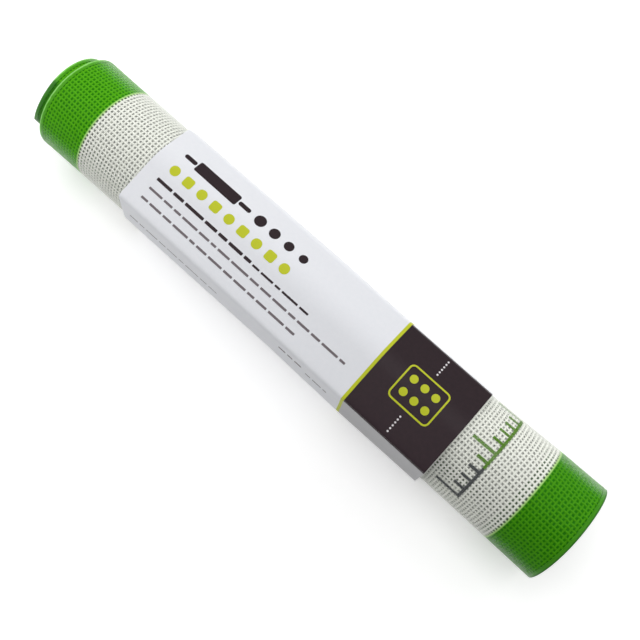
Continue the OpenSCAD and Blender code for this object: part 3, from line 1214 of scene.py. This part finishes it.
def add_outline(bm, left, right, low, high, corner, line):
    """The outline of a rectangle with round corners."""
    before = set(bm.faces)
    add_bar(bm, left, right, low, high, corner)
    body = [face for face in bm.faces if face not in before]
    bmesh.ops.inset_region(bm, faces=body, thickness=line, use_boundary=True, use_even_offset=True)
    bmesh.ops.delete(bm, geom=body, context="FACES")


# %% [markdown]
# ## Large prints
#
# The dark panel covers the right end of the front and bleeds over both creases, and the near
# side has a grey tint below it. The lime stripe beside the panel is one long bar, from one lower
# crease over the front to the other.

# %% Dark panel, lime stripe and grey side
dark_low, dark_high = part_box("dark_print_panel")
stripe_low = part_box("lime_print_stripe")[0]
DARK_LEFT, DARK_RIGHT = dark_low.x / MM, dark_high.x / MM
STRIPE_MARGIN = 2.0
TINT_GAP = 0.2
NEAR_BLEED = 0.6
FAR_BLEED = 1.2


def large_print(name, left, right, low, high, replaced, look):
    """A rectangle of ink on the card."""
    bm = bmesh.new()
    add_bar(bm, left, right, low, high)
    return folded_piece(name, flat_plate(bm), replaced, look)


large_print("dark_panel", DARK_LEFT, DARK_RIGHT, NEAR_CREASE - NEAR_BLEED, FAR_CREASE + FAR_BLEED,
            ["dark_print_panel"], dark_look)
large_print("lime_stripe", stripe_low.x / MM, DARK_LEFT,
            LOWER_NEAR + STRIPE_MARGIN, LOWER_FAR - STRIPE_MARGIN,
            ["lime_print_stripe"], lime_look)
large_print("grey_side_tint", DARK_LEFT, DARK_RIGHT,
            LOWER_NEAR + TINT_GAP, NEAR_CREASE - NEAR_BLEED - TINT_GAP, [], tint_look)

# %% [markdown]
# ## Pictures on the front
#
# The front shows what the thing is for: a rolling pin and dough discs in dark ink, a row of
# biscuits in lime, and a tray on the dark panel. Thin dashed rules fill the rest.

# %% Rolling pin and dough discs
PIN_LEFT = -82.0
PIN_MIDDLE = 10.4
PIN_BODY = 25.0
PIN_HANDLE = 7.5
PIN_GAP = 0.6
BODY_THICK = 5.8
BODY_CORNER = 0.9
HANDLE_THICK = 2.2
HANDLE_CORNER = 1.0
DISCS = 4
DISC_START = 13.0
DISC_PITCH = 8.6
DISC_R = 2.9
DISC_SHRINK = 0.25

dark_print = bmesh.new()
body_left = PIN_LEFT + PIN_HANDLE
body_right = body_left + PIN_BODY
far_handle = body_right + PIN_GAP
for left, right in ((PIN_LEFT, body_left - PIN_GAP), (far_handle, body_right + PIN_HANDLE)):
    add_rod(dark_print, left, right, PIN_MIDDLE, HANDLE_THICK, HANDLE_CORNER)
add_rod(dark_print, body_left, body_right, PIN_MIDDLE, BODY_THICK, BODY_CORNER)
for number in range(DISCS):
    x = far_handle + DISC_START + DISC_PITCH * number
    add_disc(dark_print, x, PIN_MIDDLE, DISC_R - DISC_SHRINK * number)
print("pin from", PIN_LEFT, "to", body_right + PIN_HANDLE)

# %% Dashed rules
DARK_RULES = (
    (-6.6, 1.5, (9, 6, 11, 7, 5, 8, 4), -83.0),
    (-6.9, 1.0, (4, 7, 3, 9, 5), -24.6),
)
GREY_RULES = (
    (-11.9, 1.1, (8, 5, 4, 9, 6, 3, 7, 10, 5, 6, 8, 4, 7, 5, 9, 3), -83.0),
    (-17.2, 1.1, (4, 7, 5, 9, 3, 6, 8, 5, 7, 4, 6, 9, 5), -83.0),
)
SIDE_RULES = (
    (-12.5, 0.7, (5, 3, 7, 4, 6, 3, 8, 4, 5), -86.0),
    (-7.5, 1.5, (4, 3, 4), 6.5),
    (-11.0, 0.9, (3, 5, 2), 22.5),
)
DASH_GAP = 1.2


def add_rules(bm, rules, start):
    """Rows of dashes. Each row is a place past the start, a thickness, its dashes and its left."""
    for past, thick, dashes, left in rules:
        middle = start + past
        for dash in dashes:
            add_rod(bm, left, left + dash, middle, thick, thick / 4)
            left += dash + DASH_GAP


def picture(name, bm, look):
    """Folds flat marks onto the card, in two coats so that they lie over the large prints."""
    return folded_piece(name, flat_plate(bm, coats=2), [], look)


add_rules(dark_print, DARK_RULES, 0.0)
picture("dark_pictures", dark_print, dark_look)

rules = bmesh.new()
add_rules(rules, GREY_RULES, 0.0)
add_rules(rules, SIDE_RULES, NEAR_CREASE)
picture("grey_rules", rules, rule_look)

# %% Biscuits and tray
BISCUITS = 9
BISCUIT_START = 2.6
BISCUIT_PITCH = 8.3
BISCUIT_ROW = 1.1
BISCUIT_W = 5.0
BISCUIT_CORNERS = (2.4, 1.2)
TRAY_X = (55.0, 77.0)
TRAY_Y = (-9.5, 8.5)
TRAY_CORNER = 2.6
TRAY_LINE = 0.8
BUN_START = (5.0, 5.5)
BUN_PITCH = (6.0, 7.0)
BUN_COLUMNS = 3
BUN_ROWS = 2
BUN_R = 1.9

lime_print = bmesh.new()
for number in range(BISCUITS):
    left = PIN_LEFT + BISCUIT_START + BISCUIT_PITCH * number - BISCUIT_W / 2
    corner = BISCUIT_CORNERS[number % 2]
    add_rod(lime_print, left, left + BISCUIT_W, BISCUIT_ROW, BISCUIT_W, corner)
add_outline(lime_print, *TRAY_X, *TRAY_Y, TRAY_CORNER, TRAY_LINE)
for column in range(BUN_COLUMNS):
    for row in range(BUN_ROWS):
        x = TRAY_X[0] + BUN_START[0] + BUN_PITCH[0] * column
        add_disc(lime_print, x, TRAY_Y[0] + BUN_START[1] + BUN_PITCH[1] * row, BUN_R)
picture("lime_pictures", lime_print, lime_look)

# %% Pale dots
DOTS = 6
DOT_X = 66.0
DOT_PITCH = 1.6
DOT_R = 0.45
DOT_ROWS = ((-12.6, -DOT_PITCH), (11.6, DOT_PITCH))

pale_print = bmesh.new()
for number in range(DOTS):
    for first, step in DOT_ROWS:
        add_disc(pale_print, DOT_X, first + step * number, DOT_R)
picture("pale_dots", pale_print, pale_look)

# %% [markdown]
# ## Glue
#
# The back panel is glued to the flap. The seam hides inside the sleeve and keeps the frame's
# own solid, with a dry, yellowish finish.

# %% Glue
GLUE_YELLOW = screen(214, 196, 150)
GLUE_PALE = screen(236, 224, 190)
SPOTS_PER_MM = 1.5

glue_look, tree, shader = material("dry_glue")
place = tree.nodes.new("ShaderNodeTexCoord")
in_mm = scaled(tree, place.outputs["Object"], (1 / MM,) * 3)
spots = cloudy(tree, in_mm, SPOTS_PER_MM, detail=3.0)
tree.links.new(mix(tree, spots, GLUE_YELLOW, GLUE_PALE), shader.inputs["Base Color"])
shader.inputs["Roughness"].default_value = 0.4
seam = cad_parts["sleeve_glue_seam"]
seam.data.materials.clear()
seam.data.materials.append(glue_look)
